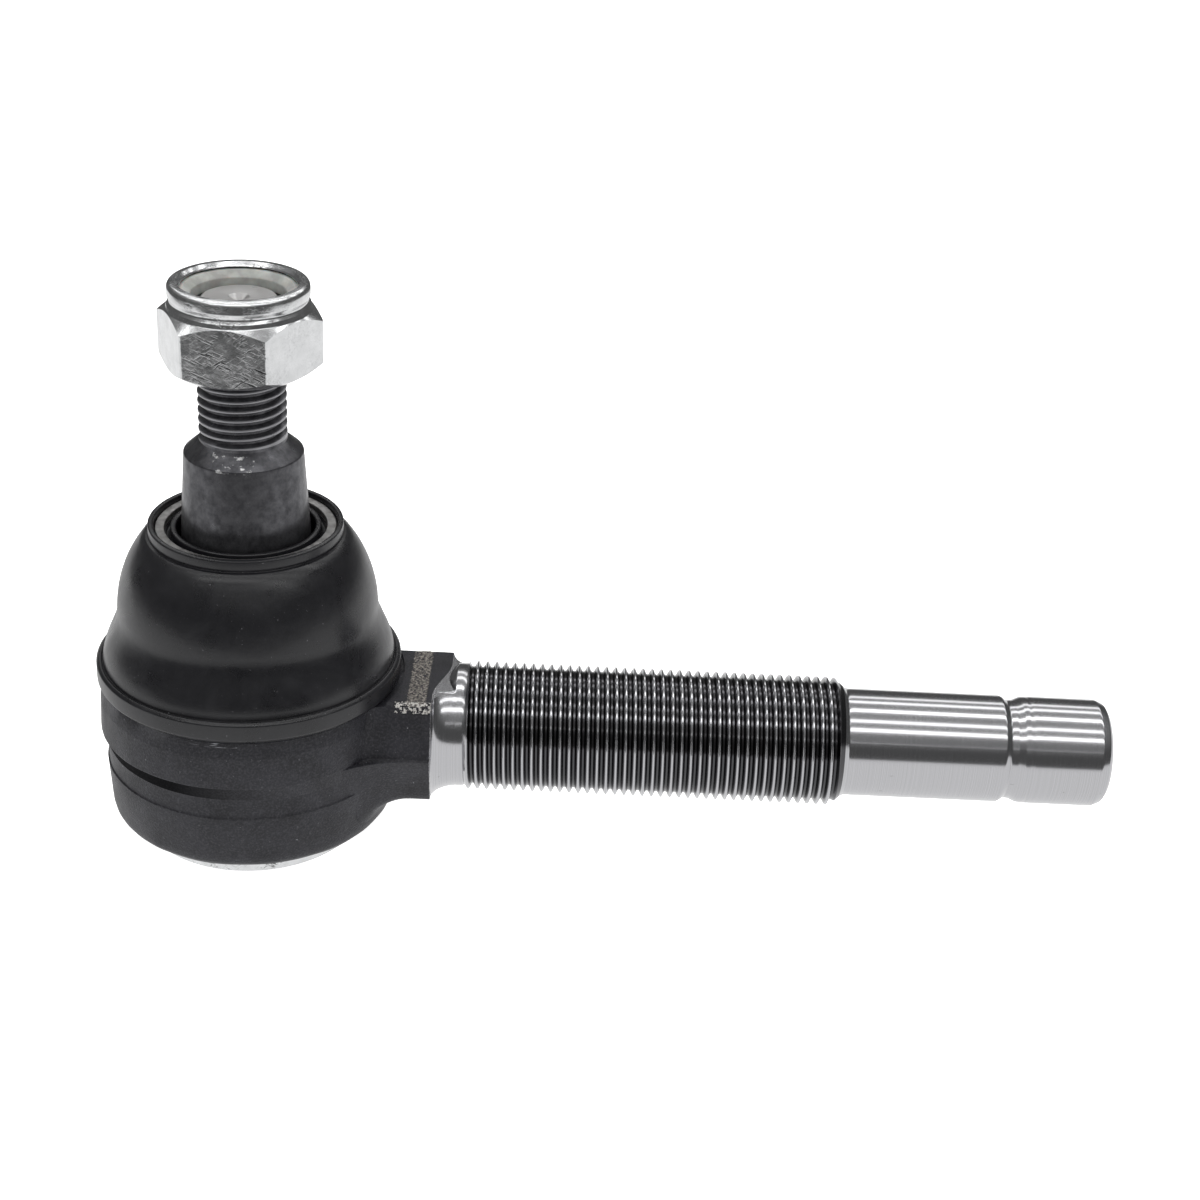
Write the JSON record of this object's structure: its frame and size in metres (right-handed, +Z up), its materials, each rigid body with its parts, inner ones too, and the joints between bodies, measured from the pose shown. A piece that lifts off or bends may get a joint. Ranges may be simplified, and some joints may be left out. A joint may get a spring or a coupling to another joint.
{
  "type": "tie rod end",
  "caption": "Steering tie rod end: forged ball socket with a threaded shank, a tapered ball stud under a rubber dust boot, and a nylon-insert lock nut.",
  "frame": {"origin": "centre of the cover plate's flat outer face, on the stud's axis", "axes": "+Z up along the stud, +X out along the threaded shank"},
  "size_m": [0.1641, 0.0484, 0.0929],
  "materials": {
    "black_forging": "satin black paint over a forged surface; the shank is turned bright",
    "phosphated_steel": "dark phosphate, satin",
    "zinc_steel": "bright zinc plating",
    "bare_steel": "bare steel",
    "acetal": "moulded",
    "nylon": "moulded, slightly translucent",
    "rubber": "satin moulded rubber"
  },
  "bodies": {
    "socket": {"housing": "black_forging", "cover_plate": "zinc_steel", "cover_seal_ring": "rubber", "preload_spring": "bare_steel", "boot_base_band": "bare_steel", "dust_boot": "rubber"},
    "ball_seats": {"upper_ball_seat": "acetal", "lower_ball_seat": "acetal"},
    "boot_rim": {"boot_rim_washer": "bare_steel"},
    "stud": {"ball_stud": "phosphated_steel"},
    "nut_ring": {"nylon_insert": "nylon"},
    "nut": {"lock_nut": "zinc_steel"}
  },
  "joints": [
    {"name": "tilt_direction", "type": "hinge", "parent": "socket", "child": "ball_seats", "pos_m": [0, 0, 0.0188], "axis": [0, 0, 1], "continuous": true},
    {"name": "stud_tilt", "type": "hinge", "parent": "ball_seats", "child": "boot_rim", "pos_m": [0, 0, 0.0188], "axis": [0, 1, 0], "range_deg": [-22, 22], "deforming": ["dust_boot"]},
    {"name": "stud_spin", "type": "hinge", "parent": "boot_rim", "child": "stud", "pos_m": [0, 0, 0.0188], "axis": [0, 0, 1], "continuous": true},
    {"name": "nut_travel", "type": "slide", "parent": "stud", "child": "nut_ring", "axis": [0, 0, 1], "range_m": [-0.0106, 0.0114]},
    {"name": "nut_turn", "type": "hinge", "parent": "nut_ring", "child": "nut", "pos_m": [0, 0, 0.0793], "axis": [0, 0, 1], "range_deg": [-2520, 2700]}
  ],
  "couplings": [
    {"joint": "nut_travel", "follows": "nut_turn", "m_per_rad": 0.00023873}
  ]
}
